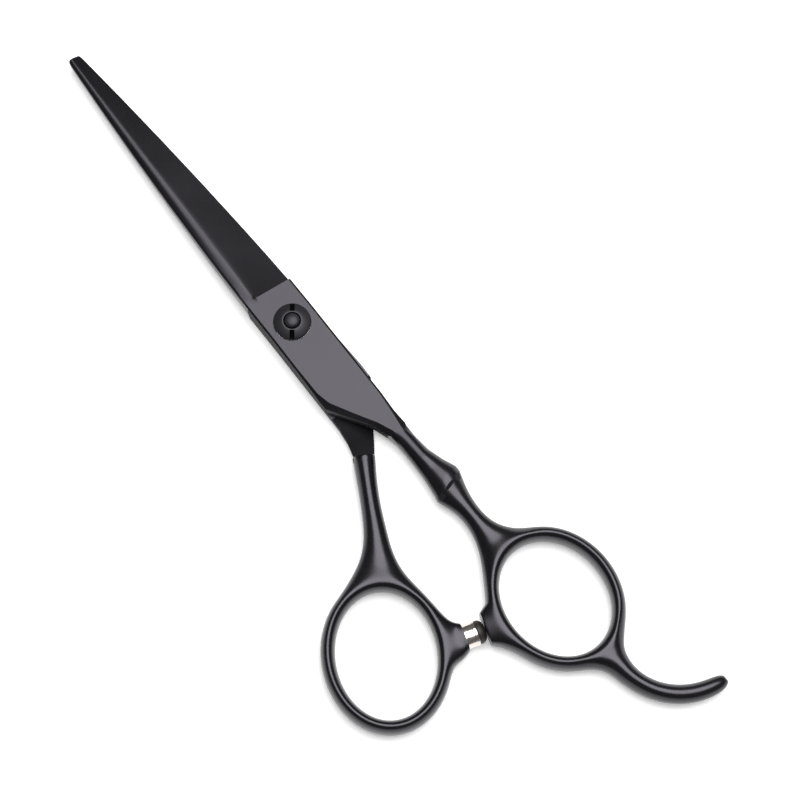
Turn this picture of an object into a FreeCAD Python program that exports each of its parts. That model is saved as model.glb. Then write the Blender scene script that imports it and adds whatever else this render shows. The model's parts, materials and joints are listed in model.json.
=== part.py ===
import FreeCAD, Part
import math
import os

from FreeCAD import Vector

# Hair cutting shears, 6.0 inch, offset handle with a fixed finger rest.
#
# Frame: the pivot axis is Z and passes through the origin, the shears lie closed on the plane z = 0,
# and +X points along the blades to the tips. The thumb half lies underneath, with its ring on the
# +Y side. The finger half lies on top, with its ring and finger rest on the -Y side.
# All values are millimetres and degrees.

# ---- the two halves -------------------------------------------------------------------------
plate_thickness = 3.0       # each half at the pivot
ride_gap = 0.04             # running clearance between the two halves
blade_length = 69.4         # pivot to tip
heel_x = 8.4                # where the ground blade starts, ahead of the pivot
shoulder_slant = 1.3        # how much the shoulder line leans over the blade's width

# ---- blade ----------------------------------------------------------------------------------
heel_half_width = 5.1
tip_half_width = 1.1
blade_belly = 0.45          # how far the blade's sides bow outside a straight taper
tip_thickness = 1.15
spine_flat_heel = 2.0       # width of the flat strip along the spine
spine_flat_tip = 0.7
edge_land = 0.14            # thickness left at the cutting edge
hollow_radius = 42.0        # hollow grind on the ride face
hollow_depth = 0.17
hollow_start = 5.0          # from the heel
hollow_end_margin = 3.0     # full-contact face left at the tip

# ---- pivot body -----------------------------------------------------------------------------
corner_x = -17.0            # outer rear corner of each body
corner_half_width = 5.65
step_radius = 28.3          # circle about the pivot where a half steps up to its full depth
step_clearance = 0.25       # the finger half's step stands this much further out
rear_bevel_width = 1.5      # wide bevel along the finger half's slanting rear edge
rear_bevel_depth = 2.4

# ---- rings: the holes are ellipses ----------------------------------------------------------
ring_wall = 2.75
finger_hole_long = 11.7     # semi-axis, along X
finger_hole_short = 9.5
thumb_hole_long = 12.1      # semi-axis, along the thumb shank
thumb_hole_short = 9.4
thumb_ring_turn = 150.7     # direction of its long axis from +X
handle_bevel = 1.0          # bevel on the handles' edges

# ---- shanks ---------------------------------------------------------------------------------
neck_x = -31.0              # where the finger body has narrowed to the shank
finger_shank_y = -2.9
finger_shank_width = 3.75
knuckle_x = -42.6           # bamboo knuckle on the finger shank
knuckle_y = -3.7
knuckle_width = 6.9
knuckle_slant = 1.0         # its two corners stand this far ahead of and behind its middle
rear_shank_x = -50.0
rear_shank_y = -3.42
rear_shank_width = 3.55
thumb_neck_x = -31.0        # where the thumb body has narrowed to the shank
thumb_neck_y = 6.75
thumb_straight = 6.9        # length of the thumb shank's straight run
thumb_shank_width = 3.6
thumb_shank_turn = 149.0    # direction of the thumb shank

# ---- finger rest ----------------------------------------------------------------------------
rest_back = 2.85            # centre of the rest's arc, behind the finger ring
rest_drop = 15.1            # and below the ring's centre
rest_radius = 13.9
rest_width = 3.5
rest_start = 95.0
rest_end = 180.0

# ---- bumper ---------------------------------------------------------------------------------
bumper_direction = 252.5    # direction of the bumper's axis, thumb ring to finger ring
thumb_boss_x = -67.1        # centre of the thumb ring's boss face
thumb_boss_y = 11.95
thumb_boss_rise = 2.68      # boss face outside the ring's outer edge
thumb_boss_half = 2.8
thumb_ring_shift = 1.98     # ring centre to the side of the bumper's axis
finger_boss_rise = 1.55
finger_boss_half = 3.3
finger_ring_shift = 3.52    # ring centre behind the finger boss
ferrule_diameter = 4.9
ferrule_length = 2.3
ferrule_chamfer = 0.3
cup_wall = 0.3
cup_depth = 1.5
stem_diameter = 2.5
stem_length = 3.2
stem_clearance = 0.3        # left under the stem's end
tip_reach = 1.75            # how far the rubber stands out of the ferrule
tip_clearance = 0.03        # rubber to finger boss with the shears closed

# ---- pivot screw ----------------------------------------------------------------------------
head_diameter = 7.0
head_height = 1.2
head_chamfer = 0.2
fit_clearance = 0.05        # pieces that are assembled loose and don't run
running_clearance = 0.03    # radial, on the journal and the threads
neck_diameter = 5.0         # anti-turn neck of the bolt: a round with two flats
neck_flats = 4.2
journal_diameter = 4.0
thread_diameter = 3.0
bolt_end_height = 1.75      # top of the bolt above the finger half's face
bolt_end_chamfer = 0.25
bush_wall = 1.0
glide_diameter = 8.6
glide_thickness = 0.4
glide_gap = 0.01
nut_diameter = 7.2
nut_height = 1.45
nut_rim_height = 0.4
nut_top_diameter = 3.9
seat_clearance = 0.2        # nut to counterbore
seat_depth = 1.0
nylon_thickness = 0.3
nylon_clearance = 0.1
spring_thickness = 0.22
spring_height = 0.45
spring_clearance = 0.25
thrust_thickness = 0.3
thrust_clearance = 0.45
key_slot_width = 1.0
key_slot_depth = 0.75
key_slot_inset = 0.2        # how far the slots cut into the flat top
key_slot_turn = -38.5
lock_ring_wall = 0.75
lock_ring_height = 0.5

# ---- what follows from those ----------------------------------------------------------------
top_z = 2.0 * plate_thickness
thumb_face_z = plate_thickness - ride_gap / 2.0
finger_face_z = plate_thickness + ride_gap / 2.0
seat_z = top_z - seat_depth
spring_z = seat_z + nylon_thickness
thrust_z = spring_z + spring_height
nut_z = thrust_z + thrust_thickness
bolt_end_z = top_z + bolt_end_height
journal_end_z = seat_z - running_clearance
neck_end_z = thumb_face_z - fit_clearance
bush_bore = journal_diameter + 2.0 * running_clearance
bush_diameter = bush_bore + 2.0 * bush_wall
thread_bore = thread_diameter + 2.0 * running_clearance
seat_diameter = nut_diameter + 2.0 * seat_clearance
UP = Vector(0, 0, 1)
AHEAD = Vector(1, 0, 0)
OVER = 1.0                  # how far a cutting tool runs past the face that it opens


def point(x, y, z=0.0):
    return Vector(x, y, z)


def polar(angle, length=1.0):
    """A vector in the plan, from its direction in degrees."""
    a = math.radians(angle)
    return Vector(length * math.cos(a), length * math.sin(a), 0)


def line(a, b):
    return Part.LineSegment(a, b).toShape()


def arc(a, middle, b):
    return Part.Arc(a, middle, b).toShape()


def bend(a, way_a, b, way_b, pull=0.36):
    """A smooth curve from a to b that leaves along way_a and arrives along way_b."""
    reach = pull * a.distanceToPoint(b)
    start = Vector(way_a).normalize() * reach
    end = Vector(way_b).normalize() * reach
    curve = Part.BezierCurve()
    curve.setPoles([a, a + start, b - end, b])
    return curve.toShape()


def prism(edges, z_low, z_high):
    face = Part.Face(Part.Wire(edges))
    solid = face.extrude(Vector(0, 0, z_high - z_low))
    solid.translate(Vector(0, 0, z_low))
    return solid


def disc(diameter, z_low, z_high):
    return Part.makeCylinder(diameter / 2.0, z_high - z_low, Vector(0, 0, z_low), UP)


def washer(outer, inner, z_low, z_high):
    return disc(outer, z_low, z_high).cut(disc(inner, z_low - OVER, z_high + OVER))


def turned(profile):
    """A solid of revolution about Z, from its (radius, z) corners."""
    corners = [Vector(r, 0, z) for r, z in profile]
    face = Part.Face(Part.makePolygon(corners + corners[:1]))
    return face.revolve(Vector(0, 0, 0), UP, 360)


def turned_over(solid):
    """The same shape on the other half: turned over about the blade axis."""
    return solid.rotated(Vector(0, 0, plate_thickness), AHEAD, 180)


def two_flats(diameter, flats, z_low, z_high):
    """A round bar with two flats."""
    sides = Part.makeBox(2 * diameter, flats, z_high - z_low, Vector(-diameter, -flats / 2.0, z_low))
    return disc(diameter, z_low, z_high).common(sides)


class Ring:
    """An elliptical ring: its hole, and its outer edge one wall further out."""

    def __init__(self, centre, long, short, turn):
        self.centre = centre
        self.long = long
        self.short = short
        self.turn = turn

    def ellipse(self, wall):
        major = self.centre + polar(self.turn, self.long + wall)
        minor = self.centre + polar(self.turn + 90, self.short + wall)
        return Part.Ellipse(major, minor, self.centre)

    def at(self, angle):
        """Point on the outer edge. The angle runs round the ellipse from its long axis."""
        a = math.radians(angle)
        along = polar(self.turn, (self.long + ring_wall) * math.cos(a))
        across = polar(self.turn + 90, (self.short + ring_wall) * math.sin(a))
        return self.centre + along + across

    def way(self, angle):
        """Direction of the outer edge there, anticlockwise."""
        a = math.radians(angle)
        along = polar(self.turn, -(self.long + ring_wall) * math.sin(a))
        across = polar(self.turn + 90, (self.short + ring_wall) * math.cos(a))
        return (along + across).normalize()

    def outer(self, start, end):
        """The outer edge, anticlockwise from start to end."""
        curve = Part.ArcOfEllipse(self.ellipse(ring_wall), math.radians(start), math.radians(end))
        return curve.toShape()

    def rim(self, wall, z):
        wire = Part.Wire([self.ellipse(wall).toShape()])
        wire.translate(Vector(0, 0, z))
        return wire

    def hole(self):
        """The finger hole, flared at both faces."""
        flare = handle_bevel
        flares = [
            Part.makeLoft([self.rim(2 * flare, -flare), self.rim(0, flare)], True),
            Part.makeLoft([self.rim(0, top_z - flare), self.rim(2 * flare, top_z + flare)], True),
        ]
        return prism([self.ellipse(0).toShape()], -OVER, top_z + OVER).multiFuse(flares)


bumper_way = polar(bumper_direction)
bumper_side = polar(bumper_direction + 90)
thumb_boss = point(thumb_boss_x, thumb_boss_y)
finger_boss = thumb_boss + bumper_way * (ferrule_length + tip_reach + tip_clearance)
finger_centre = finger_boss + point(-finger_ring_shift,
                                    -finger_boss_rise - ring_wall - finger_hole_short)
thumb_depth = thumb_boss_rise + ring_wall + thumb_hole_short
thumb_centre = thumb_boss - bumper_way * thumb_depth + bumper_side * thumb_ring_shift
finger_ring = Ring(finger_centre, finger_hole_long, finger_hole_short, 0.0)
thumb_ring = Ring(thumb_centre, thumb_hole_long, thumb_hole_short, thumb_ring_turn)
neck_up = point(neck_x, finger_shank_y + finger_shank_width / 2.0)
neck_low = point(neck_x, finger_shank_y - finger_shank_width / 2.0)
thumb_across = polar(thumb_shank_turn - 90, thumb_shank_width / 2.0)
thumb_neck_up = point(thumb_neck_x, thumb_neck_y) + thumb_across
thumb_neck_low = point(thumb_neck_x, thumb_neck_y) - thumb_across


# ---- blades ---------------------------------------------------------------------------------
def along_blade(x):
    return (x - heel_x) / (blade_length - heel_x)


def half_width(x):
    s = along_blade(x)
    straight = heel_half_width + (tip_half_width - heel_half_width) * s
    return straight + 4.0 * blade_belly * s * (1.0 - s)


def blade_section(x):
    """Five corners: ride face, spine, flat strip along the spine, and the bevel to the edge."""
    s = along_blade(x)
    width = half_width(x)
    crown = finger_face_z + (top_z - finger_face_z) * (1.0 - s) + tip_thickness * s
    strip = spine_flat_heel + (spine_flat_tip - spine_flat_heel) * s
    corners = [
        Vector(x, -width, finger_face_z),
        Vector(x, width, finger_face_z),
        Vector(x, width, crown),
        Vector(x, width - strip, crown),
        Vector(x, -width, finger_face_z + edge_land),
    ]
    return Part.makePolygon(corners + corners[:1])


def blade():
    """The ground blade of the upper half, hollow on its ride face."""
    start = heel_x - shoulder_slant
    stations = 7
    step = (blade_length - start) / (stations - 1)
    body = Part.makeLoft([blade_section(start + i * step) for i in range(stations)], True, False)
    hollow_x = heel_x + hollow_start
    run_out = blade_length - hollow_end_margin - hollow_x
    axis_start = Vector(hollow_x, 0, finger_face_z + hollow_depth - hollow_radius)
    axis_way = Vector(run_out, 0, -hollow_depth)
    return body.cut(Part.makeCylinder(hollow_radius, blade_length, axis_start, axis_way))


# ---- outlines, anticlockwise ----------------------------------------------------------------
def heel_line(side):
    """The shoulder, from the edge side to the spine side. The side is 1 on the finger half."""
    edge_side = point(heel_x - shoulder_slant, -side * heel_half_width)
    spine_side = point(heel_x, side * heel_half_width)
    return edge_side, spine_side


def finger_body_edges():
    edge_side, spine_side = heel_line(1)
    corner = point(corner_x, corner_half_width)
    return [
        line(edge_side, spine_side),
        bend(spine_side, polar(180), corner, polar(178)),
        bend(corner, polar(212), neck_up, polar(180), 0.40),
        line(neck_up, neck_low),
        bend(neck_low, polar(0), edge_side, polar(-2)),
    ]


def finger_handle_edges():
    knuckle_up = point(knuckle_x - knuckle_slant, knuckle_y + knuckle_width / 2.0)
    knuckle_low = point(knuckle_x + knuckle_slant, knuckle_y - knuckle_width / 2.0)
    rear_up = point(rear_shank_x, rear_shank_y + rear_shank_width / 2.0)
    rear_low = point(rear_shank_x, rear_shank_y - rear_shank_width / 2.0)
    rest = finger_centre + point(-finger_hole_long - ring_wall - rest_back, -rest_drop)
    outer = rest_radius + rest_width / 2.0
    inner = rest_radius - rest_width / 2.0
    middle = (rest_start + rest_end) / 2.0
    end_cap = rest + polar(rest_end, rest_radius) + polar(rest_end + 90, rest_width / 2.0)
    boss_front = finger_boss + bumper_side * finger_boss_half
    boss_back = finger_boss - bumper_side * finger_boss_half
    ring = finger_ring
    return [
        line(neck_low, neck_up),
        bend(neck_up, polar(180), knuckle_up, polar(170), 0.42),
        bend(knuckle_up, polar(205), rear_up, polar(180), 0.40),
        bend(rear_up, polar(180), ring.at(52), ring.way(52), 0.40),
        bend(ring.at(52), ring.way(52), boss_front, polar(125), 0.3),
        line(boss_front, boss_back),
        bend(boss_back, polar(215), ring.at(108), ring.way(108), 0.4),
        ring.outer(108, 152),
        bend(ring.at(152), ring.way(152), rest + polar(rest_start, outer), polar(rest_start + 90)),
        arc(rest + polar(rest_start, outer), rest + polar(middle, outer), rest + polar(rest_end, outer)),
        arc(rest + polar(rest_end, outer), end_cap, rest + polar(rest_end, inner)),
        arc(rest + polar(rest_end, inner), rest + polar(middle, inner), rest + polar(rest_start, inner)),
        bend(rest + polar(rest_start, inner), polar(rest_start - 90), ring.at(222), ring.way(222)),
        ring.outer(222, 331),
        bend(ring.at(331), ring.way(331), rear_low, polar(0), 0.38),
        bend(rear_low, polar(0), knuckle_low, polar(-24), 0.40),
        bend(knuckle_low, polar(26), neck_low, polar(0), 0.45),
    ]


def thumb_body_edges():
    edge_side, spine_side = heel_line(-1)
    corner = point(corner_x, -corner_half_width)
    shank = polar(thumb_shank_turn)
    return [
        line(spine_side, edge_side),
        bend(edge_side, polar(180), thumb_neck_up, shank, 0.42),
        line(thumb_neck_up, thumb_neck_low),
        bend(thumb_neck_low, -shank, corner, polar(-36), 0.30),
        bend(corner, polar(2), spine_side, polar(0)),
    ]


def thumb_handle_edges():
    shank = polar(thumb_shank_turn)
    slim_up = thumb_neck_up + shank * thumb_straight
    slim_low = thumb_neck_low + shank * thumb_straight
    boss_back = thumb_boss - bumper_side * thumb_boss_half
    boss_front = thumb_boss + bumper_side * thumb_boss_half
    ring = thumb_ring
    return [
        line(thumb_neck_low, thumb_neck_up),
        line(thumb_neck_up, slim_up),
        bend(slim_up, shank, ring.at(202), ring.way(202), 0.36),
        ring.outer(202, 430),
        bend(ring.at(70), ring.way(70), boss_back, polar(-85), 0.34),
        line(boss_back, boss_front),
        bend(boss_front, polar(48), ring.at(118), ring.way(118)),
        ring.outer(118, 130),
        bend(ring.at(130), ring.way(130), slim_low, -shank, 0.40),
        line(slim_low, thumb_neck_low),
    ]


# ---- the two halves -------------------------------------------------------------------------
def level_edges(solid):
    return [edge for edge in solid.Edges if edge.BoundBox.ZLength < 1e-6]


def from_middle(edge, place):
    """Distance in the plan from an edge's centre to a place."""
    middle = edge.CenterOfMass
    return math.hypot(middle.x - place.x, middle.y - place.y)


def bevelled_handle(edges, ring, neck):
    """A handle of full depth with its finger hole open. Every edge is bevelled but those at the neck."""
    solid = prism(edges, 0.0, top_z)
    outside = [e for e in level_edges(solid) if from_middle(e, neck) > fit_clearance]
    return solid.makeChamfer(handle_bevel, outside).cut(ring.hole())


def finger_blade():
    body = prism(finger_body_edges(), 0.0, top_z)
    slanting = [e for e in body.Edges if is_rear_bevel(e)]
    body = body.makeChamfer(rear_bevel_depth, rear_bevel_width, slanting)
    body = body.cut(disc(2.0 * (step_radius + step_clearance), -OVER, finger_face_z))
    body = body.fuse(blade())
    body = body.cut(disc(bush_diameter, 0, top_z))
    glide_recess = glide_diameter + 2.0 * fit_clearance
    body = body.cut(disc(glide_recess, 0, thumb_face_z + glide_gap + glide_thickness))
    body = body.cut(disc(seat_diameter, seat_z, top_z + OVER))
    neck = (neck_up + neck_low) * 0.5
    return body.fuse(bevelled_handle(finger_handle_edges(), finger_ring, neck))


def is_rear_bevel(edge):
    """The top edge of the finger body that slants from its rear corner to the shank."""
    box = edge.BoundBox
    return box.ZMin > top_z - 1e-6 and abs(box.XMax - corner_x) < 1e-3 and abs(box.XMin - neck_x) < 1e-3


def thumb_blade():
    body = prism(thumb_body_edges(), 0.0, top_z)
    body = body.cut(disc(2.0 * step_radius, thumb_face_z, top_z + OVER))
    body = body.fuse(turned_over(blade()))
    body = body.cut(disc(head_diameter + 2.0 * fit_clearance, -OVER, head_height))
    clear = 2.0 * fit_clearance
    body = body.cut(two_flats(neck_diameter + clear, neck_flats + clear, 0, top_z))
    handle = bevelled_handle(thumb_handle_edges(), thumb_ring, point(thumb_neck_x, thumb_neck_y))
    handle = handle.cut(bumper_place(disc(stem_diameter, -stem_length - stem_clearance, OVER)))
    return body.fuse(handle)


# ---- pivot screw ----------------------------------------------------------------------------
def pivot_bolt():
    """Head flush in the thumb half, anti-turn neck, journal and thread, turned from one bar."""
    head = head_diameter / 2.0
    journal = journal_diameter / 2.0
    thread = thread_diameter / 2.0
    bar = turned([
        (0, 0),
        (head - head_chamfer, 0),
        (head, head_chamfer),
        (head, head_height - fit_clearance),
        (journal, head_height - fit_clearance),
        (journal, journal_end_z),
        (thread, journal_end_z),
        (thread, bolt_end_z - bolt_end_chamfer),
        (thread - bolt_end_chamfer, bolt_end_z),
        (0, bolt_end_z),
    ])
    neck = two_flats(neck_diameter, neck_flats, head_height - 2 * fit_clearance, neck_end_z)
    return bar.fuse(neck).removeSplitter()


def pivot_bush():
    low = thumb_face_z + glide_gap + glide_thickness
    return washer(bush_diameter, bush_bore, low, seat_z)


def glide_washer():
    low = thumb_face_z + glide_gap
    return washer(glide_diameter, bush_bore, low, low + glide_thickness)


def nylon_washer():
    outer = seat_diameter - 2.0 * nylon_clearance
    return washer(outer, bush_bore, seat_z, spring_z)


def disc_spring():
    """A shallow cone of thin spring steel, wide end down."""
    outer = seat_diameter / 2.0 - spring_clearance
    inner = journal_diameter / 2.0
    return turned([
        (inner, thrust_z - spring_thickness),
        (outer, spring_z),
        (outer, spring_z + spring_thickness),
        (inner, thrust_z),
    ])


def thrust_washer():
    return washer(seat_diameter - 2.0 * thrust_clearance, thread_bore, thrust_z, nut_z)


def tension_nut():
    """Coned nut with a nylon ring under its thread and two slots for the adjusting key."""
    rim = nut_diameter / 2.0
    top = nut_top_diameter / 2.0
    bore = thread_bore / 2.0
    recess = bore + lock_ring_wall
    nut = turned([
        (recess, nut_z),
        (rim, nut_z),
        (rim, nut_z + nut_rim_height),
        (top, nut_z + nut_height),
        (bore, nut_z + nut_height),
        (bore, nut_z + lock_ring_height),
        (recess, nut_z + lock_ring_height),
    ])
    slot_floor = nut_z + nut_height - key_slot_depth
    slot_start = top - key_slot_inset
    for turn in (key_slot_turn, key_slot_turn + 180):
        corner = Vector(slot_start, -key_slot_width / 2.0, slot_floor)
        slot = Part.makeBox(rim, key_slot_width, nut_height, corner)
        nut = nut.cut(slot.rotated(Vector(0, 0, 0), UP, turn))
    return nut


def nut_lock_ring():
    return washer(thread_bore + 2.0 * lock_ring_wall, thread_bore, nut_z, nut_z + lock_ring_height)


# ---- bumper: made on the Z axis with its seat at z = 0, then put in place --------------------
def bumper_place(solid):
    turn = FreeCAD.Rotation(UP, bumper_way)
    solid.Placement = FreeCAD.Placement(thumb_boss + Vector(0, 0, plate_thickness), turn)
    return solid


def bumper_ferrule():
    """Turned cup with its threaded stem."""
    outer = ferrule_diameter / 2.0
    floor = ferrule_length - cup_depth
    return bumper_place(turned([
        (0, -stem_length),
        (stem_diameter / 2.0, -stem_length),
        (stem_diameter / 2.0, 0),
        (outer, 0),
        (outer, ferrule_length - ferrule_chamfer),
        (outer - ferrule_chamfer + cup_wall / 2.0, ferrule_length),
        (outer - cup_wall, ferrule_length),
        (outer - cup_wall, floor),
        (0, floor),
    ]))


def bumper_tip():
    """Rubber plug with a domed end."""
    radius = ferrule_diameter / 2.0 - cup_wall
    floor = ferrule_length - cup_depth
    end = ferrule_length + tip_reach
    plug = Part.makeCylinder(radius, end - floor, Vector(0, 0, floor), UP)
    ends = [e for e in plug.Edges if e.BoundBox.ZMin > end - 1e-6]
    return bumper_place(plug.makeFillet(0.45 * tip_reach, ends))


PIECES = {
    "finger_blade": finger_blade,
    "thumb_blade": thumb_blade,
    "pivot_bolt": pivot_bolt,
    "pivot_bush": pivot_bush,
    "glide_washer": glide_washer,
    "nylon_washer": nylon_washer,
    "disc_spring": disc_spring,
    "thrust_washer": thrust_washer,
    "tension_nut": tension_nut,
    "nut_lock_ring": nut_lock_ring,
    "bumper_ferrule": bumper_ferrule,
    "bumper_tip": bumper_tip,
}

os.makedirs("parts", exist_ok=True)
for name, make in PIECES.items():
    shape = make()
    shape.exportStep("parts/%s.step" % name)
    print("%-16s solids %d valid %s volume %.3f" % (name, len(shape.Solids), shape.isValid(), shape.Volume))
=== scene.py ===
import json
import math

import bmesh
import bpy
from mathutils import Matrix, Vector


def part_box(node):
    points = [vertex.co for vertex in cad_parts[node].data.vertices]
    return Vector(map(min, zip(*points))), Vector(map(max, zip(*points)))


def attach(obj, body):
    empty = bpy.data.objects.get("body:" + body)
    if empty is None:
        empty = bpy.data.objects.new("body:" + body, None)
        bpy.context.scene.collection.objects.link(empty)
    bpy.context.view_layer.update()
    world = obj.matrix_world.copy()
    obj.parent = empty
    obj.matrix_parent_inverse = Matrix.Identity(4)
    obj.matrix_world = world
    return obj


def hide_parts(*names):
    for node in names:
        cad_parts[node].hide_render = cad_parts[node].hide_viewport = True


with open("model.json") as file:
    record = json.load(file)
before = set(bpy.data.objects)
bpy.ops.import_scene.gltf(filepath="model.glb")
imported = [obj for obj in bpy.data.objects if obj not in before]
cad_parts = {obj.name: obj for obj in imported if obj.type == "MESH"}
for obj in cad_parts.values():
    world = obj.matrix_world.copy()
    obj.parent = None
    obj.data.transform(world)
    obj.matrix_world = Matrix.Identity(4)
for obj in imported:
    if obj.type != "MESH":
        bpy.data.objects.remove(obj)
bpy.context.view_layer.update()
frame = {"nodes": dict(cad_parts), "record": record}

MM = 0.001

# ---- sizes of the two halves, in mm -------------------------------------------------------------
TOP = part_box("finger_blade")[1][2] / MM
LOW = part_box("thumb_blade")[0][2] / MM
RIDE = (TOP + LOW) / 2
GAP = 0.02                      # each ride face stands this far off the ride plane
DEPTH = 5.7                     # of the handles, top to underside
TIP_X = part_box("finger_blade")[1][0] / MM
HEEL_X = 8.4                    # the shoulder, where the ground blade starts
SHOULDER_SLANT = 1.3            # the shoulder runs back this much towards the cutting edge
SHOULDER_WALL = 0.3             # length of the step from the pivot body down to the blade
HEEL_HALF_WIDTH = 5.1
TIP_HALF_WIDTH = 1.3            # 0.2 fuller than the CAD model's
BLADE_BELLY = 0.45              # how far the blade's sides bow out, halfway along
TIP_THICKNESS = 1.15
EDGE_LAND = 0.14                # thickness left at the cutting edge
EDGE_BEVEL = 0.38               # round the outer faces of the pivot bodies
SIDE_DRAFT = 0.10               # how much the bodies' sides lean in from the ride faces
WALL = 2.75                     # of the rings, hole to outside
KEY_SLOT_TURN = -38.5           # of the nut's two slots, as the shears were set
SLIT_TURN = 14                  # of the filed slit across the knuckle
SLIT_MIDDLE = (-43.2, -3.9)
BUMPER_TURN = 252.5             # the way that the bumper points, from the thumb half's boss
THUMB_BOSS = (-67.1, 11.95)     # the boss's end face, where the ferrule is screwed in
KNUCKLE_TURN = 16.6             # the knuckle's two ridges, from straight across the shank
REST_MIDDLE = (-89.15, -20.84)  # the finger rest is an arc about this point
REST_RADIUS = 13.9
SHANK_TURN = -31                # the thumb half's shank, from the X axis
NUT_BORE = 3.06
NUT_RECESS = 4.6                # under the nut, for its lock ring
KEY_SLOT_WIDTH = 0.92
RING_STEPS = 24                 # points round a ring's cage, before it is rounded off
RING_SIDES = 8                  # points round the cage's own section
START_RADIUS = 10               # of the torus that each ring is opened out from


def hole(name):
    """Centre of a finger hole, from the room that the model keeps open in it."""
    for opening in frame["record"]["physics"]["openings"]:
        if opening["name"] == name:
            low, high = opening["box_m"]
            return (low[0] + high[0]) / 2 / MM, (low[1] + high[1]) / 2 / MM
    raise ValueError(name)


# ---- selecting, in edit mode ------------------------------------------------------------------
def pick(piece):
    """Make this the only selected object."""
    for other in bpy.context.selected_objects:
        other.select_set(False)
    piece.select_set(True)
    bpy.context.view_layer.objects.active = piece


def added(name):
    """The primitive that was just added, with its place in its mesh."""
    piece = bpy.context.active_object
    piece.name = name
    pick(piece)
    bpy.ops.object.transform_apply(location=True, rotation=True, scale=True)
    return piece


def edit(piece):
    pick(piece)
    bpy.ops.object.mode_set(mode="EDIT")
    bpy.ops.mesh.select_mode(type="FACE")
    bpy.ops.mesh.select_all(action="DESELECT")
    return bmesh.from_edit_mesh(piece.data)


def finish_edit(piece):
    bmesh.update_edit_mesh(piece.data)
    bpy.ops.object.mode_set(mode="OBJECT")


def apply(piece, kind, **settings):
    pick(piece)
    change = piece.modifiers.new(kind.title(), kind)
    for key, value in settings.items():
        setattr(change, key, value)
    bpy.ops.object.modifier_apply(modifier=change.name)


def cut(piece, tool):
    """Take a tool's shape out of a piece, and the tool away."""
    apply(piece, "BOOLEAN", operation="DIFFERENCE", solver="EXACT", object=tool)
    bpy.data.objects.remove(tool)


def bore(piece, diameter, low, high, sides=96):
    """Drill a round hole about the pivot axis."""
    bpy.ops.mesh.primitive_cylinder_add(vertices=sides, radius=diameter / 2 * MM, depth=(high - low) * MM,
                                        location=(0, 0, (high + low) / 2 * MM))
    cut(piece, added("drill"))


def plan(angle, length=1.0):
    """A vector in the plan, from its direction in degrees."""
    return Vector((math.cos(math.radians(angle)), math.sin(math.radians(angle)), 0)) * length


# ---- sections -----------------------------------------------------------------------------------
# A handle is pulled out of its ring as one region of faces, with COLUMNS of points across it, from
# the left of the direction of travel, and ROWS of points down it. Each pull sets them to a section.
ROWS = 5


class Round:
    """An oval section, or a squarer one. Rounding off draws a cage in, so SWELL makes it larger."""

    SWELL = 1.03

    def __init__(self, x, y, heading, width, depth=DEPTH, z=3.0, square=0.0, ridge=0.0):
        self.middle = Vector((x, y, z))
        self.heading = heading
        self.width = width
        self.depth = depth
        self.square = square
        self.ridge = ridge

    def place(self, across, down):
        """A point, with across and down from 0 to 1."""
        u = 1 - 2 * across
        v = 1 - 2 * down
        round_u = u * math.sqrt(1 - v * v / 2) * self.SWELL
        round_v = v * math.sqrt(1 - u * u / 2) * self.SWELL
        a = self.square * u + (1 - self.square) * round_u
        b = self.square * v + (1 - self.square) * round_v
        left = plan(self.heading + 90)
        return self.middle + left * (a * self.width / 2) + Vector((0, 0, b * self.depth / 2))

    def crease(self, column, row, last):
        return 0.0


class Flat:
    """A plate, from two points of its outer face and two of its ride face, with bevelled outer edges."""

    def __init__(self, outer, ride, z_outer, z_ride, sharp=1.0, ridge=0.0, turned=False, sunk=(0.0, 0.0)):
        self.outer = [Vector((x, y, z_outer)) for x, y in outer]
        self.ride = [Vector((x, y, z_ride - drop)) for (x, y), drop in zip(ride, sunk)]
        self.sharp = sharp
        self.ridge = ridge
        self.turned = turned

    def place(self, across, down):
        """The sides lean in a little from the ride face, up to a bevel round the outer face."""
        outer = self.outer[0].lerp(self.outer[1], across)
        ride = self.ride[0].lerp(self.ride[1], across)
        if self.turned:
            down = 1 - down
        if across not in (0, 1):
            return outer.lerp(ride, down)
        inward = (self.ride[1] - self.ride[0]).to_2d().normalized().to_3d() * (1 - 2 * across)
        bevel = max((outer - ride).to_2d().length, EDGE_BEVEL)
        wide = across == 0 and bevel > 2 * EDGE_BEVEL
        steep = 0.9 if wide else 0.6
        row = round(down * (ROWS - 1))
        if row == 0:
            return Vector((ride.x, ride.y, outer.z)) + inward * (bevel + SIDE_DRAFT)
        shoulder_z = outer.z + (ride.z - outer.z) / abs(ride.z - outer.z) * bevel * steep
        lean = SIDE_DRAFT * ((ROWS - 1 - row) / (ROWS - 2)) ** 2
        height = shoulder_z + (ride.z - shoulder_z) * (row - 1) / (ROWS - 2)
        return Vector((ride.x, ride.y, height)) + inward * lean

    def crease(self, column, row, last):
        if self.turned:
            row = ROWS - 1 - row
        if column not in (0, last):
            return 0.0
        if row in (0, ROWS - 1):
            return self.sharp
        return 0.55 * self.sharp if row == 1 else 0.0


class Between:
    """A section part of the way from one to another."""

    def __init__(self, first, second, share, sharp=0.3):
        self.first = first
        self.second = second
        self.share = share
        self.sharp = sharp
        self.ridge = 0.0

    def place(self, across, down):
        return self.first.place(across, down).lerp(self.second.place(across, down), self.share)

    def crease(self, column, row, last):
        return self.sharp if column in (0, last) and row == 0 else 0.0


def along_blade(x):
    """0 at the heel, 1 at the tip."""
    return (x - HEEL_X) / (TIP_X - HEEL_X)


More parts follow.
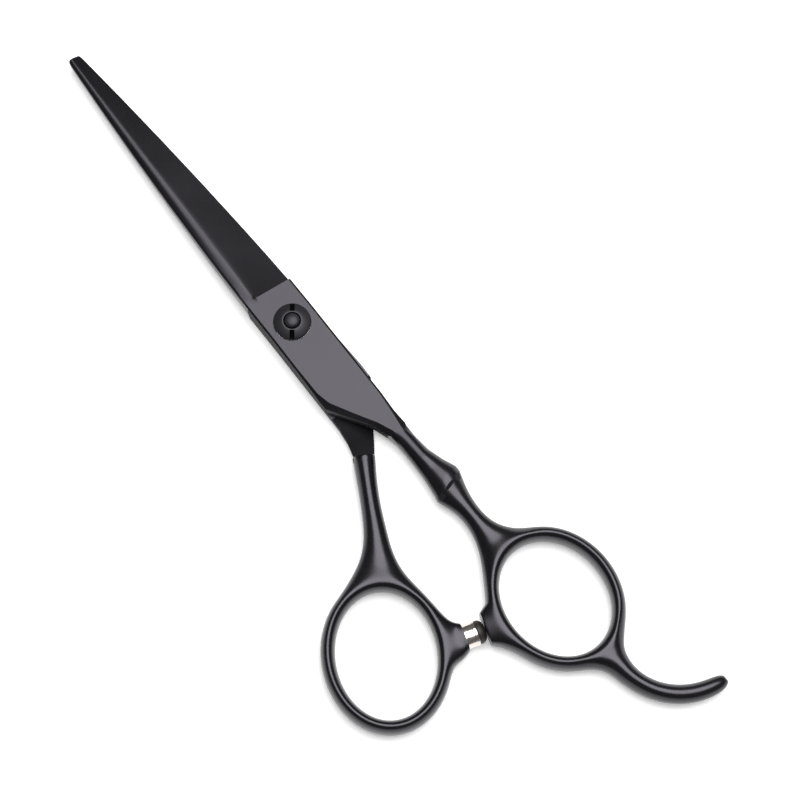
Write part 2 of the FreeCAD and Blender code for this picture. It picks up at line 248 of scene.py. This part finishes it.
class Ground:
    """A section of a ground blade: the finger half's, or turned over for the thumb half.

    A strip along the spine falls off towards the side, more so near the tip. From the strip the face
    runs down to the cutting edge, and the ride face is ground hollow behind it.
    """

    COLUMNS = 5

    def __init__(self, x, half, ridge=0.0, narrow=1.0, slant=0.0):
        s = along_blade(x)
        straight = HEEL_HALF_WIDTH + (TIP_HALF_WIDTH - HEEL_HALF_WIDTH) * s
        self.x = x
        self.slant = slant
        self.width = (straight + 4 * BLADE_BELLY * s * (1 - s)) * narrow
        self.crown = RIDE + GAP + (TOP - RIDE - GAP) * (1 - s) + TIP_THICKNESS * s
        self.strip = (2.1 * (1 - s) + 0.7 * s) * narrow
        self.strip_crease = 0.35 * (1 - s) ** 3
        self.strip_fall = self.strip * (0.09 + 0.34 * min(1.0, 2 * s)) * (1 if x > HEEL_X + 1 else 0)
        self.hollow = 0.16 * max(0.0, 1 - s * 1.15) * (1 if x > HEEL_X + 3 else 0)
        self.edge_bevel = (EDGE_BEVEL + SIDE_DRAFT) * (1 - s) + 0.12 * s
        self.half = half
        self.ridge = ridge

    def place(self, across, down):
        if self.half == "thumb":
            across, down = 1 - across, 1 - down
        face = RIDE + GAP
        column = across * self.COLUMNS
        if column < 1:
            y = self.width - self.strip * column
            top = self.crown - self.strip_fall * (1 - column)
        else:
            share = (column - 1) / (self.COLUMNS - 1)
            inner = self.width - self.strip
            y = inner + (-self.width - inner) * share
            top = self.crown + (face + EDGE_LAND - self.crown) * share
        under_y = self.width * (1 - 2 * across)
        under = face + self.hollow * (1 - (1 - 2 * across) ** 2)
        x = self.x - self.slant * across
        point = Vector((x, y, top)).lerp(Vector((x, under_y, under)), down)
        if column == 0 and down < 0.3:
            point.y = self.width - (self.edge_bevel if down == 0 else 0)
            point.z = top - (0 if down == 0 else self.edge_bevel * 0.6)
        if self.half == "thumb":
            point = Vector((point.x, -point.y, 2 * RIDE - point.z))
        return point

    def crease(self, column, row, last):
        if self.half == "thumb":
            column, row = last - column, ROWS - 1 - row
        if column in (0, last) and row in (0, ROWS - 1):
            return 1.0
        return self.strip_crease if column == 1 and row == 0 else 0.0


# ---- pulling ---------------------------------------------------------------------------------------
def ring(name, hole_name, long, short, turn):
    """A finger ring: a torus opened out to an ellipse, with the same wall all round.

    Rounding off draws the cage in, across its wall and a little round the ring, so it starts larger.
    """
    x, y = hole(hole_name)
    bpy.ops.mesh.primitive_torus_add(major_segments=RING_STEPS, minor_segments=RING_SIDES,
                                     major_radius=START_RADIUS * MM, minor_radius=WALL / 2 * MM,
                                     location=(x * MM, y * MM, RIDE * MM))
    piece = added(name)
    mesh = edit(piece)
    wall_swell = 1.10
    ring_swell = 1.01
    for vert in mesh.verts:
        flat = Vector((vert.co.x / MM - x, vert.co.y / MM - y, 0))
        angle = math.atan2(flat.y, flat.x)
        out = WALL / 2 + (flat.length - START_RADIUS) * wall_swell
        up = (vert.co.z / MM - RIDE) / (WALL / 2) * DEPTH / 2 * wall_swell
        along = plan(turn, (long + out) * math.cos(angle) * ring_swell)
        side = plan(turn + 90, (short + out) * math.sin(angle) * ring_swell)
        vert.co = (Vector((x, y, RIDE + up)) + along + side) * MM
    mesh.verts.layers.int.new("mark")
    number_ring(mesh)
    finish_edit(piece)
    return piece


def number_ring(mesh):
    """Keep each point's number round the ring, and round the ring's own section."""
    around = mesh.verts.layers.int.new("around")
    section = mesh.verts.layers.int.new("section")
    for index, vert in enumerate(mesh.verts):
        vert[around] = index // RING_SIDES
        vert[section] = index % RING_SIDES


def pull(piece, first, last, sections):
    """Pull the ring's outside, from step first round to step last, through the sections.

    A pulled point's mark holds its column and row, as 1 + 10 * column + row. Points that belong to
    the ring itself, and aren't pulled, have the mark 0.
    """
    mesh = edit(piece)
    around = mesh.verts.layers.int["around"]
    section = mesh.verts.layers.int["section"]
    mark = mesh.verts.layers.int["mark"]
    steps = (last - first) % RING_STEPS
    down = {2: 0, 1: 1, 0: 2, 7: 3, 6: 4}
    for vert in mesh.verts:
        vert[mark] = 0
        back = (last - vert[around]) % RING_STEPS
        if back <= steps and vert[section] in down and vert[around] >= 0:
            vert[mark] = 1 + 10 * back + down[vert[section]]
    for face in mesh.faces:
        marks = [v[mark] for v in face.verts]
        face.select_set(all(marks) and max(marks) - min(marks) == 11)
    for sect in sections:
        bpy.ops.mesh.extrude_region_move()
        mesh = bmesh.from_edit_mesh(piece.data)
        mark = mesh.verts.layers.int["mark"]
        around = mesh.verts.layers.int["around"]
        soft = mesh.edges.layers.float.get("crease_edge") or mesh.edges.layers.float.new("crease_edge")
        for vert in mesh.verts:
            if not vert.select:
                continue
            vert[around] = -1
            column, row = divmod(vert[mark] - 1, 10)
            vert.co = sect.place(column / steps, row / (ROWS - 1)) * MM
            for edge in vert.link_edges:
                other = edge.other_vert(vert)
                if not other.select:
                    edge[soft] = sect.crease(column, row, steps)
        for edge in mesh.edges:
            if edge.select and sect.ridge:
                inside = [f.select for f in edge.link_faces]
                if inside.count(True) == 1:
                    edge[soft] = sect.ridge
    finish_edit(piece)


# ---- the two halves ----------------------------------------------------------------------------
def blade_sections(half):
    """From the shoulder to the tip."""
    start = HEEL_X + SHOULDER_WALL
    sections = [Ground(start, half, ridge=1.0, slant=SHOULDER_SLANT)]
    for x in (14, 22, 34, 46, 57, 65):
        sections.append(Ground(x, half))
    sections.append(Ground(TIP_X - 1.0, half))
    sections.append(Ground(TIP_X - 0.35, half, narrow=0.96))
    sections.append(Ground(TIP_X - 0.02, half, narrow=0.8, ridge=0.3))
    return sections


def plate(half, top, under=None, sharp=1.0, ridge=0.0, sunk=(0.0, 0.0)):
    """A section of a half's pivot body, from its outer face to its ride face."""
    under = under or top
    if half == "finger":
        return Flat(top, under, TOP, RIDE + GAP, sharp, ridge)
    return Flat(top, under, LOW, RIDE - GAP, sharp, ridge, turned=True, sunk=sunk)


def shoulder(half):
    left = (HEEL_X, HEEL_HALF_WIDTH)
    right = (HEEL_X - SHOULDER_SLANT, -HEEL_HALF_WIDTH)
    if half == "thumb":
        left, right = (HEEL_X - SHOULDER_SLANT, HEEL_HALF_WIDTH), (HEEL_X, -HEEL_HALF_WIDTH)
    return plate(half, [left, right], ridge=1.0)


def finger_half():
    piece = ring("finger_half", "finger_hole", 11.7, 9.5, 0)
    neck = Round(-31.5, -2.9, 0, 3.75, depth=5.4, square=0.15)
    body = Flat([(-28.9, -1.7), (-28.9, -3.5)], [(-28.9, -0.75), (-28.9, -4.6)], TOP, 1.9, 0.5)
    step = plate("finger", [(-28.5, -1.65), (-28.5, -3.55)], [(-28.5, -0.5), (-28.5, -4.7)], ridge=0.8)
    pull(piece, 22, 3, [
        Round(-57.2, -4.1, 0, 8.6, depth=4.9),
        Round(-54.2, -3.6, 0, 5.1, depth=4.6),
        Round(-51.2, -3.52, 0, 3.85, depth=4.6),
        Round(-48.2, -3.55, 2, 3.95, depth=4.6),
        Round(-45.6, -3.45, 8, 5.1, depth=4.7),
        Round(-42.85, -3.64, KNUCKLE_TURN, 7.3, depth=5.75, ridge=0.7),
        Round(-41.6, -3.78, KNUCKLE_TURN, 7.0, depth=5.75, ridge=0.7),
        Round(-38.5, -3.5, 8, 5.25, depth=5.1),
        Round(-35.0, -3.1, 3, 4.05, depth=4.9),
        neck,
        Between(neck, body, 0.75, sharp=0.35),
        body,
        step,
        plate("finger", [(-25.5, -0.4), (-25.5, -3.95)], [(-25.5, 0.5), (-25.5, -4.5)]),
        plate("finger", [(-21.2, 2.05), (-21.2, -4.4)], [(-21.2, 3.25), (-21.2, -4.75)]),
        plate("finger", [(-17.1, 4.25), (-17.1, -4.65)], [(-17.1, 5.65), (-17.1, -4.8)]),
        plate("finger", [(-16.6, 4.45), (-16.6, -4.68)], [(-16.6, 5.65), (-16.6, -4.82)]),
        plate("finger", [(-14.0, 5.0), (-14.0, -4.75)], [(-14.0, 5.58), (-14.0, -4.87)]),
        plate("finger", [(-8.0, 5.3), (-8.0, -4.95)], [(-8.0, 5.38), (-8.0, -4.97)]),
        plate("finger", [(0, 5.18), (0, -5.1)]),
        shoulder("finger"),
    ] + blade_sections("finger"))
    pull(piece, 4, 7, [
        Round(-68.6, 6.6, 72.5, 8.2, depth=5.4, square=0.5),
        Round(-68.33, 8.06, 72.5, 6.4, depth=4.7, square=0.6, ridge=0.8),
    ])
    rest_sections = [Round(-86.3, -6.5, 181, 7.2), Round(-88.3, -7.0, 183, 4.7)]
    for angle, width in ((98, 3.9), (112, 3.6), (126, 3.6), (140, 3.6), (154, 3.55), (167, 3.4),
                         (176, 2.9), (180, 1.7)):
        middle = Vector((*REST_MIDDLE, 0)) + plan(angle, REST_RADIUS)
        depth = 5.6 - 1.6 * (angle - 98) / (180 - 98)
        if angle > 170:
            depth = depth * width / 3.4
        rest_sections.append(Round(middle.x, middle.y, angle + 90, width, depth=depth))
    pull(piece, 10, 15, rest_sections)
    return piece


def thumb_half():
    piece = ring("thumb_half", "thumb_hole", 12.1, 9.4, 150.7)
    pull(piece, 9, 14, [
        Round(-47.4, 16.2, -48, 8.4, depth=4.7),
        Round(-44.2, 14.4, -47, 5.5, depth=4.6),
        Round(-41.3, 12.6, -38, 4.35, depth=4.6),
        Round(-36.93, 10.25, SHANK_TURN, 3.65, depth=4.8),
        Round(-32.95, 8.0, SHANK_TURN, 3.75, depth=5.2),
        Round(-30.2, 6.35, SHANK_TURN, 4.1, depth=5.5),
        Round(-28.6, 5.35, SHANK_TURN, 4.3, square=0.1, ridge=0.9),
        plate("thumb", [(-27.2, 6.7), (-29.0, 3.1)], ridge=0.9, sunk=(1.1, 1.9)),
        plate("thumb", [(-24.2, 5.9), (-25.2, 1.3)], [(-24.2, 5.9), (-25.5, 0.6)], sunk=(0.35, 1.6)),
        plate("thumb", [(-21.0, 5.5), (-21.0, -1.4)], [(-21.0, 5.5), (-21.5, -2.3)], sunk=(0.0, 0.9)),
        plate("thumb", [(-17.0, 5.43), (-17.0, -4.3)], [(-17.0, 5.43), (-17.1, -5.45)], sunk=(0, 0.3)),
        plate("thumb", [(-16.5, 5.42), (-16.5, -4.5)], [(-16.5, 5.42), (-16.5, -5.47)]),
        plate("thumb", [(-14.0, 5.4), (-14.0, -5.1)], [(-14.0, 5.4), (-14.0, -5.55)]),
        plate("thumb", [(-8.0, 5.3), (-8.0, -5.35)]),
        plate("thumb", [(0, 5.15), (0, -5.2)]),
        shoulder("thumb"),
    ] + blade_sections("thumb"))
    pull(piece, 5, 8, [
        Round(-66.6, 13.6, BUMPER_TURN, 7.6, depth=4.4, square=0.25),
        Round(*THUMB_BOSS, BUMPER_TURN, 5.4, depth=4.9, square=0.5, ridge=0.8),
    ])
    return piece


def round_off(piece):
    """Round the cage off to the ground and polished shape."""
    apply(piece, "SUBSURF", levels=3, render_levels=3)


def turned(name, foot, along, profile, sides=96):
    """A turned piece: pairs of a radius and a height up its axis, from its foot to its far end."""
    radius, height = profile[1]
    depth = height - profile[0][1]
    turn = along.to_track_quat("Z", "X").to_euler()
    place = foot + along * (profile[0][1] + depth / 2)
    bpy.ops.mesh.primitive_cone_add(vertices=sides, radius1=profile[0][0] * MM, radius2=radius * MM,
                                    depth=depth * MM, location=place * MM, rotation=turn)
    piece = added(name)
    mesh = edit(piece)
    mesh.faces.ensure_lookup_table()
    far = max(mesh.faces, key=lambda face: face.calc_center_median().dot(along))
    far.select_set(True)
    for next_radius, next_height in profile[2:]:
        step = along * (next_height - height) * MM
        bpy.ops.mesh.extrude_region_move(TRANSFORM_OT_translate={"value": step})
        middle = (foot + along * next_height) * MM
        bpy.ops.transform.resize(value=[next_radius / radius] * 3, center_override=middle)
        radius, height = next_radius, next_height
    finish_edit(piece)
    return piece


def tension_nut():
    """A low dome with a hole for the bolt's end and two slots for the key."""
    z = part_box("tension_nut")[0][2] / MM
    nut = turned("tension_nut_dome", Vector((0, 0, z)), Vector((0, 0, 1)), [
        (3.40, 0.0), (3.58, 0.06), (3.60, 0.14), (3.60, 0.30), (3.575, 0.38), (3.51, 0.45), (3.38, 0.53),
        (3.10, 0.69), (2.80, 0.84), (2.50, 0.97), (2.20, 1.09), (1.95, 1.17), (1.80, 1.20), (1.70, 1.18),
        (1.63, 1.11), (1.60, 1.00), (1.60, 0.85), (1.0, 0.85),
    ])
    bore(nut, NUT_BORE, z - 1.0, z + 2.0)
    bore(nut, NUT_RECESS, z - 1.0, z + 0.51)
    tall = 1.5
    for inner, outer, floor in ((1.86, 2.6, 0.56), (2.4, 3.46, 0.26)):
        for side in (1, -1):
            middle = plan(KEY_SLOT_TURN, side * (inner + outer) / 2) + Vector((0, 0, z + floor + tall / 2))
            bpy.ops.mesh.primitive_cube_add(size=1, location=middle * MM,
                                            scale=((outer - inner) * MM, KEY_SLOT_WIDTH * MM, tall * MM),
                                            rotation=(0, 0, math.radians(KEY_SLOT_TURN)))
            cut(nut, added("key_slot_cutter"))
    return nut


def pivot_bolt():
    """The head flush with the underside, and the end that stands up through the nut."""
    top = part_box("pivot_bolt")[1][2] / MM
    bolt = turned("pivot_bolt_turned", Vector((0, 0, 0)), Vector((0, 0, 1)), [
        (3.3, 0.0), (3.45, 0.05), (3.5, 0.15), (3.5, 1.2), (1.5, 1.2), (1.5, 3.0), (1.5, top - 0.92),
        (1.42, top - 0.84), (1.42, top - 0.55), (1.40, top - 0.45), (1.34, top - 0.36), (1.24, top - 0.27),
        (1.08, top - 0.18), (0.88, top - 0.11), (0.64, top - 0.055), (0.36, top - 0.018), (0.1, top),
    ])
    bpy.ops.mesh.primitive_cube_add(size=1, location=(0, 0, 0.1 * MM), scale=(7.6 * MM, 1.0 * MM, 1.2 * MM),
                                    rotation=(0, 0, math.radians(20)))
    cut(bolt, added("driver_slot_cutter"))
    return bolt


def bumper():
    """The turned ferrule in the thumb half's boss, and its rubber tip."""
    along = plan(BUMPER_TURN)
    foot = Vector((*THUMB_BOSS, RIDE))
    ferrule = turned("bumper_ferrule_turned", foot, along, [
        (2.15, -0.30), (2.33, -0.22), (2.36, -0.12), (2.36, -0.06), (2.36, 1.60), (2.36, 1.66), (2.37, 1.69),
        (2.43, 1.72), (2.45, 1.76), (2.45, 1.82), (2.45, 2.14), (2.45, 2.19), (2.42, 2.26), (2.36, 2.30),
        (2.30, 2.30), (2.05, 2.30), (2.0, 2.2), (1.0, 2.2),
    ])
    tip = turned("bumper_tip_moulded", foot, along, [
        (1.7, 2.0), (1.9, 2.1), (2.22, 2.32), (2.26, 2.42), (2.26, 2.66), (2.24, 2.9), (2.17, 3.14),
        (2.05, 3.36), (1.87, 3.57), (1.62, 3.75), (1.30, 3.89), (0.95, 3.98), (0.55, 4.03), (0.2, 4.045),
    ])
    return ferrule, tip


def knuckle_slit(piece):
    """A narrow V filed across the top of the knuckle."""
    side = 0.62 * MM
    bpy.ops.mesh.primitive_cube_add(size=1, location=(0, 0, 0), scale=(side, 3.9 * MM, side),
                                    rotation=(0, math.radians(45), 0))
    file = added("file_cutter")
    file.rotation_euler = (0, 0, math.radians(SLIT_TURN))
    file.location = Vector((*SLIT_MIDDLE, 5.93)) * MM
    cut(piece, file)


finger = finger_half()
thumb = thumb_half()
for half in (finger, thumb):
    round_off(half)
bore(finger, 6.06, LOW, TOP)
bore(finger, 7.6, TOP - 1.04, TOP - 0.25)
bore(finger, 7.26, TOP - 0.5, TOP + 1.0)
knuckle_slit(finger)
bore(thumb, 5.1, LOW - 1.0, TOP)
bore(thumb, 7.1, LOW - 1.0, 1.2)
nut = tension_nut()
bolt = pivot_bolt()
ferrule, tip = bumper()


# ---- materials -------------------------------------------------------------------------------
def linear(hex_colour):
    """An sRGB hex colour as the linear colour that a shader takes."""
    parts = [int(hex_colour[i:i + 2], 16) / 255 for i in (1, 3, 5)]
    return [p / 12.92 if p <= 0.04045 else ((p + 0.055) / 1.055) ** 2.4 for p in parts] + [1.0]


def add(tree, kind, settings=None, **links):
    """Add a node, set what it has, and link its inputs from other nodes' outputs."""
    new = tree.nodes.new(kind)
    for key, value in (settings or {}).items():
        if key in new.inputs:
            new.inputs[key].default_value = value
        else:
            setattr(new, key, value)
    for key, (source, output) in links.items():
        tree.links.new(source.outputs[output], new.inputs[key.replace("_", " ")])
    return new


COATING_TINT = (0.93, 0.90, 1.0, 1.0)     # the coating's faint violet cast


def coated(name, colour, gloss, spread, grain_mm, bump_mm, patch_mm=11, stretch=(1, 1, 1), ior=1.48):
    """Steel with a thin black vapour-deposited coating, as even and as bright as its ground."""
    made = bpy.data.materials.new(name)
    made.use_nodes = True
    tree = made.node_tree
    tree.nodes.clear()
    place = add(tree, "ShaderNodeTexCoord")
    turn = add(tree, "ShaderNodeMapping", {"Scale": stretch}, Vector=(place, "Object"))
    grain = add(tree, "ShaderNodeTexNoise", {"Scale": 1 / (grain_mm * MM), "Detail": 3.0},
                Vector=(turn, "Vector"))
    patches = add(tree, "ShaderNodeTexNoise", {"Scale": 1 / (patch_mm * MM), "Detail": 2.0},
                  Vector=(place, "Object"))
    even = add(tree, "ShaderNodeMath", {"operation": "ADD"})
    tree.links.new(grain.outputs["Fac"], even.inputs[0])
    tree.links.new(patches.outputs["Fac"], even.inputs[1])
    rough = add(tree, "ShaderNodeMapRange", {"From Min": 0.6, "From Max": 1.4, "To Min": gloss - spread,
                                             "To Max": gloss + spread}, Value=(even, "Value"))
    tone = add(tree, "ShaderNodeValToRGB", Fac=(patches, "Fac"))
    dark = linear(colour)
    tone.color_ramp.elements[0].color = [part * 0.85 for part in dark[:3]] + [1.0]
    tone.color_ramp.elements[0].position = 0.35
    tone.color_ramp.elements[1].color = [part * 1.15 for part in dark[:3]] + [1.0]
    tone.color_ramp.elements[1].position = 0.65
    bump = add(tree, "ShaderNodeBump", {"Strength": 0.5, "Distance": bump_mm * MM}, Height=(grain, "Fac"))
    shader = add(tree, "ShaderNodeBsdfPrincipled", {"IOR": ior, "Specular Tint": COATING_TINT},
                 Base_Color=(tone, "Color"), Roughness=(rough, "Result"), Normal=(bump, "Normal"))
    add(tree, "ShaderNodeOutputMaterial", Surface=(shader, "BSDF"))
    return made


def turned_metal(name, colour, gloss, ring_mm, axis):
    """Turned metal: faint rings left by the tool about the piece's axis."""
    made = bpy.data.materials.new(name)
    made.use_nodes = True
    tree = made.node_tree
    tree.nodes.clear()
    place = add(tree, "ShaderNodeTexCoord")
    bands_per_unit = 20         # the wave texture draws this many bands to a unit at a scale of 1
    rings = add(tree, "ShaderNodeTexWave",
                {"bands_direction": axis, "Scale": 1 / (ring_mm * MM) / bands_per_unit, "Distortion": 0.6,
                 "Detail": 1.0}, Vector=(place, "Object"))
    rough = add(tree, "ShaderNodeMapRange", {"To Min": gloss * 0.8, "To Max": gloss * 1.2},
                Value=(rings, "Fac"))
    tone = add(tree, "ShaderNodeValToRGB", Fac=(rings, "Fac"))
    tint = linear(colour)
    tone.color_ramp.elements[0].color = [part * 0.94 for part in tint[:3]] + [1.0]
    tone.color_ramp.elements[1].color = tint
    shader = add(tree, "ShaderNodeBsdfPrincipled", {"Metallic": 1.0}, Base_Color=(tone, "Color"),
                 Roughness=(rough, "Result"))
    add(tree, "ShaderNodeOutputMaterial", Surface=(shader, "BSDF"))
    return made


def moulded(name, colour, gloss, grain_mm, bump_mm):
    """Moulded or pressed plastic and rubber, with the fine grain of the mould."""
    made = bpy.data.materials.new(name)
    made.use_nodes = True
    tree = made.node_tree
    tree.nodes.clear()
    place = add(tree, "ShaderNodeTexCoord")
    grain = add(tree, "ShaderNodeTexNoise", {"Scale": 1 / (grain_mm * MM), "Detail": 4.0},
                Vector=(place, "Object"))
    rough = add(tree, "ShaderNodeMapRange", {"To Min": gloss - 0.08, "To Max": gloss + 0.08},
                Value=(grain, "Fac"))
    tone = add(tree, "ShaderNodeValToRGB", Fac=(grain, "Fac"))
    tint = linear(colour)
    tone.color_ramp.elements[0].color = [part * 0.8 for part in tint[:3]] + [1.0]
    tone.color_ramp.elements[1].color = tint
    bump = add(tree, "ShaderNodeBump", {"Strength": 0.4, "Distance": bump_mm * MM}, Height=(grain, "Fac"))
    shader = add(tree, "ShaderNodeBsdfPrincipled", Base_Color=(tone, "Color"), Roughness=(rough, "Result"),
                 Normal=(bump, "Normal"))
    add(tree, "ShaderNodeOutputMaterial", Surface=(shader, "BSDF"))
    return made


# Black titanium coating over hand-polished handles: deep gloss, with soft bright crests.
polished = coated("polished_coated_steel", "#0c0b0d", 0.27, 0.03, 1.2, 0.001)
# The same coating over blasted flats: an even satin grey under the light. The real blasting is
# finer than 0.05 mm, and is drawn coarser here so that it shows.
satin = coated("satin_coated_steel", "#1b1a1e", 0.40, 0.03, 0.16, 0.0035)
# The same coating over wheel-ground bevels: darker, with fine lines across the blade. The real
# lines are about 0.02 mm apart, and are drawn coarser.
ground = coated("ground_coated_steel", "#0b0a0d", 0.30, 0.04, 0.20, 0.0015, stretch=(1, 0.12, 1))
# The same coating over the milled sides of the pivot bodies, and the filed slit: rough, so that they
# stay dark where they meet the eye at a low angle.
milled = coated("milled_coated_steel", "#080809", 0.75, 0.05, 0.20, 0.004)
# Turned screw parts, coated and tumbled: a softer gloss than the handles.
screw_black = coated("turned_coated_steel", "#131215", 0.47, 0.03, 0.25, 0.001)
# The coating in the recess behind the thumb half's pivot, almost without shine: painted shade, so that the
# recess reads dark.
recess_painted_shade = coated("recess_painted_shade_coated_steel", "#0a0a0c", 0.50, 0.05, 0.30, 0.002, ior=1.17)
# The coating in the slots of the nut, and in its bore: rough, near black and with no shine, so they read as
# black. This is painted shade.
slot_painted_shade = coated("slot_painted_shade_coated_steel", "#060607", 0.80, 0.05, 0.30, 0.002, ior=1.07)

# Bright chrome over a turned brass cup: it mirrors the light as hard bands round the ferrule.
chrome = turned_metal("turned_chrome_plate", "#d8d0cb", 0.20, 0.15, "X")
# The pieces inside the pivot show only at its gaps: bare bearing metal, spring steel and white plastic.
bronze = turned_metal("turned_bearing_bronze", "#a9804a", 0.35, 0.10, "Z")
spring = turned_metal("pressed_spring_steel", "#a7a8ab", 0.30, 0.12, "Z")
# Moulded rubber, softer and duller than the coated steel next to it.
rubber = moulded("moulded_black_rubber", "#1d1a18", 0.55, 0.20, 0.006)
ptfe = moulded("skived_ptfe_sheet", "#e6e5e0", 0.45, 0.30, 0.004)
nylon = moulded("moulded_natural_nylon", "#dcd8c8", 0.40, 0.25, 0.004)


POLISHED, SATIN, GROUND, MILLED, RECESS = range(5)


def finish_for(half, out, middle, normal):
    """The finish that a face has, from its place and from which way it looks."""
    x, z = middle.x, middle.z
    level = normal.z * out
    from_slit = (middle.to_2d() - Vector(SLIT_MIDDLE)).dot(plan(SLIT_TURN).to_2d())
    if x > HEEL_X - 1.4 and not (level > 0.998 and x < HEEL_X):
        return SATIN if level > 0.995 else GROUND
    if x > -36 and level > 0.96:
        return SATIN
    # painted shade: the recess behind the thumb half's pivot takes the dark, almost shineless coating
    if half == thumb and -28.7 < x < -19 and level < -0.8 and z > 0.6:
        return RECESS
    if x > -30 and level < -0.96:
        return GROUND
    if x > -28.4 and abs(level) < 0.3:
        return MILLED
    if half == finger and abs(from_slit) < 0.45 and 0.5 < normal.z < 0.85:
        return MILLED
    return POLISHED


def finish_halves():
    """Satin on the flats of the pivot body, ground on the blades, polish on the rest."""
    for half, out in ((finger, 1), (thumb, -1)):
        for made in (polished, satin, ground, milled, recess_painted_shade):
            half.data.materials.append(made)
        for face in half.data.polygons:
            face.material_index = finish_for(half, out, face.center / MM, face.normal)
        pick(half)
        bpy.ops.object.shade_smooth_by_angle(angle=math.radians(28))


def finish_small(piece, made):
    piece.data.materials.append(made)
    pick(piece)
    bpy.ops.object.shade_smooth_by_angle(angle=math.radians(30))


def paint_shade_in_slots():
    """Paint shade on the nut's bore, and on the walls and floors of its two slots."""
    nut.data.materials.append(slot_painted_shade)
    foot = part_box("tension_nut")[0][2] / MM
    across = plan(KEY_SLOT_TURN + 90).to_2d()
    for face in nut.data.polygons:
        middle = face.center / MM
        out = middle.to_2d().length
        up = face.normal.z
        in_bore = out < 1.61 and (up < 0.99 or middle.z < foot + 0.9)
        beside = abs(middle.to_2d().dot(across)) < KEY_SLOT_WIDTH / 2 + 0.01
        in_slot = beside and out > 1.7 and middle.z > foot + 0.2 and up > -0.1
        cut_face = abs(face.normal.to_2d().dot(across)) > 0.99 or up > 0.999 or abs(up) < 0.01
        # painted shade on the bore and in the slots
        if in_bore or (in_slot and cut_face):
            face.material_index = 1


finish_halves()
for piece, made in ((nut, screw_black), (bolt, screw_black), (ferrule, chrome), (tip, rubber)):
    finish_small(piece, made)
paint_shade_in_slots()

for piece, node, body, finish in (
        (finger, "finger_blade", "finger_half", "coated_steel"),
        (thumb, "thumb_blade", "thumb_half", "coated_steel"),
        (bolt, "pivot_bolt", "thumb_half", "screw_steel"),
        (nut, "tension_nut", "nut", "screw_steel"),
        (ferrule, "bumper_ferrule", "thumb_half", "bright_chrome"),
        (tip, "bumper_tip", "thumb_half", "bumper_rubber")):
    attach(piece, body)
    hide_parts(node)

for node, made in (("pivot_bush", bronze), ("glide_washer", ptfe), ("nylon_washer", nylon),
                   ("disc_spring", spring), ("thrust_washer", spring), ("nut_lock_ring", nylon)):
    kept = frame["nodes"][node]
    kept.data.materials.clear()
    kept.data.materials.append(made)


# ---- floor, light and camera -----------------------------------------------------------------
ELEVATION = 75                  # of the camera, in degrees
DISTANCE = 0.567                # from the camera to AIM, in metres


def stage_floor():
    """White card, lit a little from below as on a light table, so that shadows stay faint."""
    bpy.ops.mesh.primitive_plane_add(size=6, location=(0, 0, (LOW - 0.05) * MM))
    floor = added("floor")
    made = bpy.data.materials.new("white_card")
    made.use_nodes = True
    shader = made.node_tree.nodes["Principled BSDF"]
    shader.inputs["Base Color"].default_value = linear("#f6f6f6")
    shader.inputs["Roughness"].default_value = 0.9
    shader.inputs["Emission Color"].default_value = linear("#ffffff")
    shader.inputs["Emission Strength"].default_value = 0.3
    floor.data.materials.append(made)


def softbox(name, size, place, aim, power):
    """A square lamp, pointed from its place to where it aims."""
    lamp = bpy.data.lights.new(name, "AREA")
    lamp.shape = "SQUARE"
    lamp.size = size
    lamp.energy = power
    box = bpy.data.objects.new(name, lamp)
    bpy.context.collection.objects.link(box)
    box.location = place
    box.rotation_euler = (Vector(aim) - Vector(place)).to_track_quat("-Z", "Y").to_euler()


AIM = Vector((-0.02401, -0.00696, 0.003))     # the middle of the shears
RIGHT = Vector((-0.6225, -0.7826, 0))         # the camera's right, and the way that it looks in the plan
AWAY = Vector((0.7826, -0.6225, 0))
stage_floor()
softbox("overhead", 0.85, AIM + AWAY * 0.14 + RIGHT * 0.12 + Vector((0, 0, 0.95)), AIM, 14.5)

world = bpy.data.worlds.new("studio")
bpy.context.scene.world = world
world.use_nodes = True
world.node_tree.nodes["Background"].inputs["Color"].default_value = (1, 1, 1, 1)
world.node_tree.nodes["Background"].inputs["Strength"].default_value = 0.15
bpy.context.scene.view_settings.view_transform = "Standard"

lens = bpy.data.cameras.new("camera")
lens.lens = 135
lens.sensor_width = 36
camera = bpy.data.objects.new("camera", lens)
bpy.context.collection.objects.link(camera)
back = -AWAY * math.cos(math.radians(ELEVATION)) + Vector((0, 0, math.sin(math.radians(ELEVATION))))
up = back.cross(RIGHT)
turn = Matrix((RIGHT, up, back)).transposed().to_4x4()
camera.matrix_world = Matrix.Translation(AIM + back * DISTANCE) @ turn
bpy.context.scene.camera = camera
